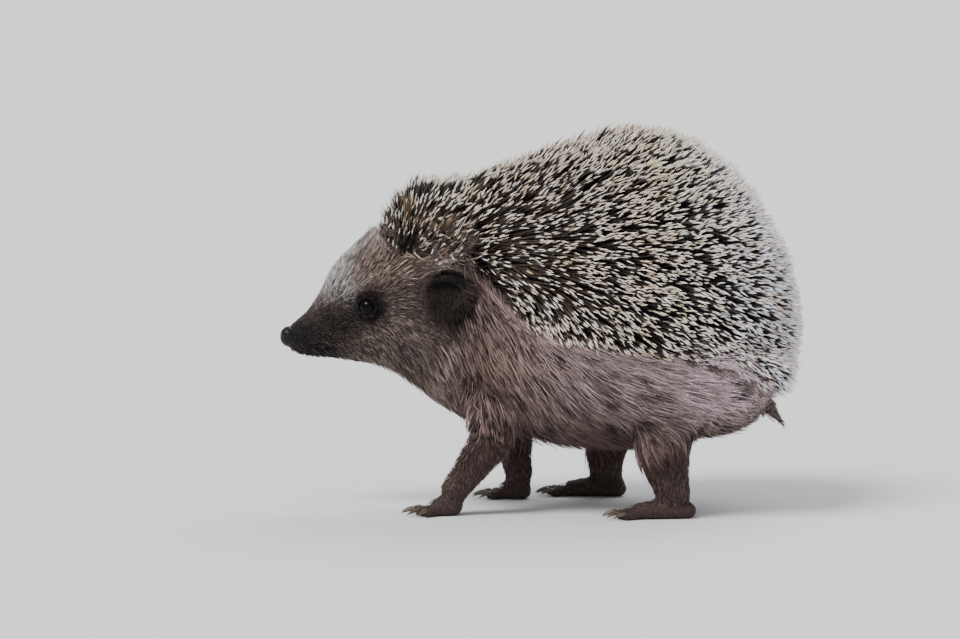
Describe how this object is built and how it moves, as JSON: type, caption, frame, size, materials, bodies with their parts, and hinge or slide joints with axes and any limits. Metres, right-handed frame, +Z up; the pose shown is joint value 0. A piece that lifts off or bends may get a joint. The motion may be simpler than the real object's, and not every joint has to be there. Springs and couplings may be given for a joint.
{
  "type": "hedgehog",
  "caption": "Life-size walking hedgehog, a still model: pointed furred face held out low, spiny mantle from brow to rump, long flank fur, short clawed legs.",
  "frame": {"origin": "on the ground, under the middle of the animal's box", "axes": "the animal faces -Y, +X is its left side, +Z is up; the soles of all four feet lie on Z = 0"},
  "size_m": [0.1332, 0.2208, 0.1628],
  "materials": {
    "face_fur": "short soft fur, nearly black about the muzzle and pale grey-buff on the brow",
    "body_fur": "long coarse grey-brown fur with pale tips",
    "spines": "smooth horn spines, cream with a broad black-brown band",
    "leg_fur": "short dark grey-brown fur",
    "foot_skin": "dark wrinkled skin with sparse short hair",
    "claws": "translucent brown horn",
    "ear_skin": "thin dark skin with short hair",
    "nose_skin": "moist black pebbled skin",
    "eyes": "wet black eyeball"
  },
  "bodies": {
    "root": {"head": "face_fur", "lower_jaw": "face_fur", "neck": "body_fur", "trunk": "body_fur", "tail": "body_fur", "nose": "nose_skin", "eye_left": "eyes", "eye_right": "eyes", "ear_left": "ear_skin", "ear_right": "ear_skin", "spines_crown": "spines", "spines_back": "spines", "spines_rump": "spines", "leg_fore_left": "leg_fur", "foot_fore_left": "foot_skin", "leg_fore_right": "leg_fur", "foot_fore_right": "foot_skin", "leg_hind_left": "leg_fur", "foot_hind_left": "foot_skin", "leg_hind_right": "leg_fur", "foot_hind_right": "foot_skin", "claw_fore_left_1": "claws", "claw_fore_left_2": "claws", "claw_fore_left_3": "claws", "claw_fore_left_4": "claws", "claw_fore_left_5": "claws", "claw_fore_right_1": "claws", "claw_fore_right_2": "claws", "claw_fore_right_3": "claws", "claw_fore_right_4": "claws", "claw_fore_right_5": "claws", "claw_hind_left_1": "claws", "claw_hind_left_2": "claws", "claw_hind_left_3": "claws", "claw_hind_left_4": "claws", "claw_hind_left_5": "claws", "claw_hind_right_1": "claws", "claw_hind_right_2": "claws", "claw_hind_right_3": "claws", "claw_hind_right_4": "claws", "claw_hind_right_5": "claws"}
  },
  "joints": []
}
